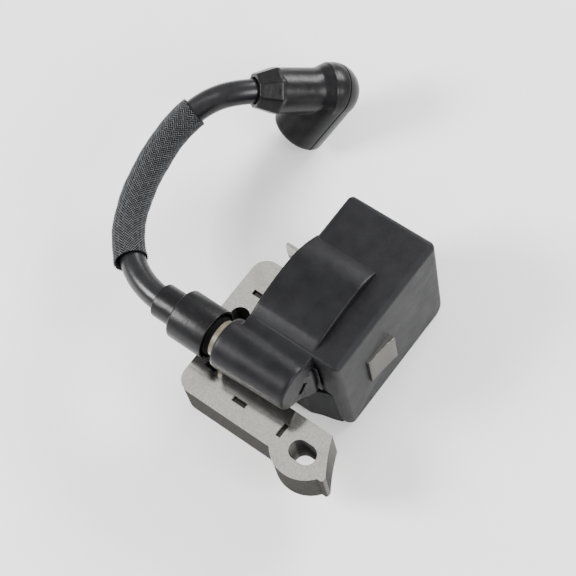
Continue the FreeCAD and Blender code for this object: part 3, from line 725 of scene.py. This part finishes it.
class Line:
    """A polyline with side directions that don't twist, read by distance along it in millimetres."""

    def __init__(self, points):
        self.points = [point / MM for point in points]
        self.reach = [0.0]
        for a, b in zip(self.points, self.points[1:]):
            self.reach.append(self.reach[-1] + (b - a).length)
        self.sides = []
        side = Vector((0, 0, 1))
        for i in range(len(self.points)):
            forward = self.tangent(i)
            side = (side - forward * side.dot(forward)).normalized()
            self.sides.append(side)

    def tangent(self, i):
        a = self.points[max(i - 1, 0)]
        b = self.points[min(i + 1, len(self.points) - 1)]
        return (b - a).normalized()

    def nearest(self, spot):
        """Distance along the line of its point nearest to a spot."""
        spot = Vector(spot)
        best = min(range(len(self.points)), key=lambda i: (self.points[i] - spot).length)
        return self.reach[best]

    def at(self, distance):
        """Point and two side directions at a distance along the line."""
        i = 1
        while i < len(self.reach) - 1 and self.reach[i] < distance:
            i += 1
        part = (distance - self.reach[i - 1]) / (self.reach[i] - self.reach[i - 1])
        point = self.points[i - 1].lerp(self.points[i], part)
        forward = self.tangent(i - 1).lerp(self.tangent(i), part).normalized()
        side = self.sides[i - 1].lerp(self.sides[i], part)
        side = (side - forward * side.dot(forward)).normalized()
        return point, side, forward.cross(side)


def braid_height(around, along):
    """Relief from 0 to 1 and strand tone where two families of strands pass over and under."""
    first = around + along
    second = around - along
    i, j = math.floor(first), math.floor(second)
    first_over = (i + j) % 4 < 2
    across, under = (first - i, second - j) if first_over else (second - j, first - i)
    crown = max(0.0, 1 - ((2 * across - 1) / STRAND_WIDTH) ** 2)
    dip = 1 - 0.6 * (2 * under - 1) ** 2
    tone = ((i * 7 if first_over else j * 11 + 3) % 5) / 4
    return crown * dip, tone


def make_sleeve(path):
    line = Line(path)
    start = line.nearest(SLEEVE_START)
    end = line.nearest(SLEEVE_END)
    rows, lining_rows, sides = 480, 40, CARRIERS * 8
    lining_relief = 0.3
    shape = bmesh.new()
    height_layer = shape.verts.layers.float.new("height")
    strand_layer = shape.verts.layers.float.new("strand")

    def sleeve_radius(distance):
        """Both ends are a little wider than the middle, and the middle is slightly uneven."""
        low = math.exp(-(distance - start) / 2.6)
        high = math.exp(-(end - distance) / 1.8)
        wave = 0.05 * math.sin(distance * 0.5) + 0.03 * math.sin(distance * 1.3 + 1.0)
        return SLEEVE_RADIUS + 0.35 * low + 0.15 * high + wave

    def ring(distance, lining):
        """One ring of the braid or of its lining. The loose end hangs to one side of the lead."""
        point, up, left = line.at(distance)
        hang = 0.55 * math.exp(-(distance - start) / 9.0)
        centre = point - left * hang if left.x > 0 else point + left * hang
        radius = sleeve_radius(distance) - (SLEEVE_WALL if lining else 0.0)
        verts = []
        for k in range(sides):
            angle = 2 * math.pi * k / sides
            relief, tone = braid_height(CARRIERS * k / sides, (distance - start) / STRAND_PITCH)
            spread = radius + BRAID_RELIEF * (relief - 1.0)
            if lining:
                relief, spread = lining_relief, radius
            outward = up * math.cos(angle) + left * math.sin(angle)
            vert = shape.verts.new(centre + outward * spread)
            vert[height_layer] = relief
            vert[strand_layer] = tone
            verts.append(vert)
        return verts

    length = end - start
    rings = [ring(start + length * row / rows, False) for row in range(rows + 1)]
    rings += [ring(start + length * row / lining_rows, True) for row in range(lining_rows, -1, -1)]
    for first, second in zip(rings, rings[1:] + rings[:1]):
        for k in range(sides):
            m = (k + 1) % sides
            shape.faces.new((first[k], first[m], second[m], second[k]))
    return place(from_bmesh("sleeve_braid", shape), "braided_sleeve", braid_finish())


# ---- Spark plug boot -----------------------------------------------------------------------------

def make_plug_boot():
    """An eight-sided nose, the flared barrel, the domed elbow and the skirt, in one skin."""
    rim = ELBOW - BARREL * BARREL_REACH
    nose = lathe("nose", [(0, 0), (0, 5.0), (6.2, 7.0), (7.0, 6.6), (7.0, 0)], rim, BARREL,
                 sides=8, phase=0.5)
    flare = [(0, 0), (0, 6.4), (11.5, 6.35)] + curve((11.5, 6.35), (14.5, 6.35), (16.2, 7.9))
    barrel = lathe("barrel", [*flare, (20.0, 7.6), (20.0, 0)], rim + BARREL * 5.4, BARREL)
    arc = [(-DOME_RADIUS * math.cos(a / 24 * math.pi), DOME_RADIUS * math.sin(a / 24 * math.pi))
           for a in range(1, 24)]
    dome = lathe("dome", [(-DOME_RADIUS, 0), *arc, (DOME_RADIUS, 0)], ELBOW, SKIRT)
    skirt = lathe("skirt", soften([(0, 0), (0, 7.8), (SKIRT_LENGTH, 8.0), (SKIRT_LENGTH, 0)], 1.2),
                  ELBOW, SKIRT)
    boot = merge("plug_boot_rubber", [nose, barrel, dome, skirt], 0.24, 9)

    lead_hole = lathe("lead_hole", [(0, 0), (0, 4.0), (2.0, 3.6), (14.0, 3.6), (14.0, 0)],
                      rim - BARREL * 1.0, BARREL)
    mouth = ELBOW + SKIRT * SKIRT_LENGTH
    plug_hole = lathe("plug_hole", [(0, 0), (0, 6.0), (1.8, 5.6), (8.0, 5.6), (8.0, 4.0),
                                    (17.8, 4.0), (17.8, 0)], mouth + SKIRT, -SKIRT)
    carve(boot, [lead_hole, plug_hole])
    split_shading(boot, 60)
    # The mould seam is a real shallow groove in the relief; its near-black line is painted shade in
    # that groove.
    rubber = rubber_finish("plug_rubber", ELBOW + SEAM_NORMAL * SEAM_HALF_WIDTH, SEAM_NORMAL,
                           SEAM_HALF_WIDTH)
    return place(boot, "plug_boot", rubber)


# ---- Metal and hidden parts ----------------------------------------------------------------------

def make_small_parts():
    """Finishes for the pieces that keep their CAD shapes."""
    for names, finish in (
        (["kill_terminal", "ground_strap", "hv_jumper"],
         plain_finish("tinned_brass", (0.40, 0.39, 0.37), (0.55, 0.54, 0.51), 0.34, metal=1.0,
                      blotch=1.5, grain=0.3, relief=0.02)),
        (["contact_spike", "plug_pin"],
         plain_finish("brass", (0.62, 0.44, 0.18), (0.78, 0.60, 0.30), 0.3, metal=1.0)),
        (["plug_terminal"],
         plain_finish("spring_steel", (0.36, 0.36, 0.36), (0.55, 0.55, 0.54), 0.3, metal=1.0)),
        (["primary_winding", "charge_winding", "trigger_winding", "secondary_winding"],
         plain_finish("copper_wire", (0.45, 0.17, 0.07), (0.68, 0.32, 0.15), 0.32, metal=0.9,
                      blotch=1.0, grain=0.15, relief=0.05)),
        (["primary_bobbin", "secondary_bobbin"],
         plain_finish("bobbin_plastic", (0.52, 0.50, 0.44), (0.66, 0.64, 0.58), 0.45)),
        (["circuit_board"],
         plain_finish("board_laminate", (0.06, 0.20, 0.09), (0.11, 0.30, 0.15), 0.4)),
        (["capacitor"],
         plain_finish("capacitor_film", (0.45, 0.15, 0.05), (0.60, 0.25, 0.09), 0.35)),
        (["thyristor", "timing_chip", "charge_diode", "kill_diode"],
         plain_finish("component_black", (0.02, 0.02, 0.02), (0.05, 0.05, 0.05), 0.5)),
        (["gate_resistor", "trigger_resistor"],
         plain_finish("resistor_body", (0.50, 0.40, 0.26), (0.66, 0.56, 0.40), 0.45)),
        (["varistor"],
         plain_finish("varistor_coat", (0.04, 0.10, 0.32), (0.08, 0.18, 0.46), 0.25)),
        (["potting_resin"],
         plain_finish("resin", (0.010, 0.010, 0.011), (0.022, 0.022, 0.024), 0.16, blotch=6.0,
                      grain=2.5, relief=0.12)),
    ):
        for name in names:
            paint(nodes[name], finish)


# ---- Camera, floor and light ---------------------------------------------------------------------

def make_camera():
    data = bpy.data.cameras.new("camera")
    data.sensor_width = 36.0
    data.lens = 106.7
    camera = add_object("camera", data)
    right = Vector((0.789, 0.600, -0.131)).normalized()
    back = Vector((0.362, -0.281, 0.889))
    back = (back - right * back.dot(right)).normalized()
    turn = Matrix((right, back.cross(right), back)).transposed().to_4x4()
    camera.matrix_world = Matrix.Translation(Vector((166.7, -111.8, 402.0)) * MM) @ turn
    bpy.context.scene.camera = camera


def make_light(name, spot, size, watts):
    """A soft rectangular light that looks at the module's middle."""
    data = bpy.data.lights.new(name, "AREA")
    data.shape = "RECTANGLE"
    data.size, data.size_y = (side * MM for side in size)
    data.energy = watts
    light = add_object(name, data)
    light.location = Vector(spot) * MM
    direction = (Vector((0, 15, 0)) - Vector(spot)).normalized()
    light.rotation_euler = direction.to_track_quat("-Z", "Y").to_euler()


def make_studio():
    mesh = bpy.data.meshes.new("floor")
    reach, level = 4.0, STAND * MM
    square = [(-reach, -reach), (reach, -reach), (reach, reach), (-reach, reach)]
    mesh.from_pydata([(x, y, level) for x, y in square], [], [(0, 1, 2, 3)])
    floor = add_object("floor", mesh)
    paint(floor, plain_finish("floor", (0.93, 0.93, 0.93), (0.95, 0.95, 0.95), 0.7, blotch=40.0))

    world = bpy.data.worlds.new("studio")
    world.use_nodes = True
    colour, strength = world.node_tree.nodes["Background"].inputs[:2]
    colour.default_value = (1, 1, 1, 1)
    strength.default_value = 0.85
    bpy.context.scene.world = world
    make_light("key", (-420, -380, 480), (260, 260), 8)
    make_light("fill", (560, 40, 420), (300, 300), 4)
    make_light("rim", (60, 620, 420), (400, 160), 6)


# ---- The whole -----------------------------------------------------------------------------------

make_camera()
make_core()
make_case()
make_output()
lead, lead_path = make_lead()
sleeve = make_sleeve(lead_path)
plug_boot = make_plug_boot()
make_small_parts()
make_studio()

bpy.context.view_layer.update()
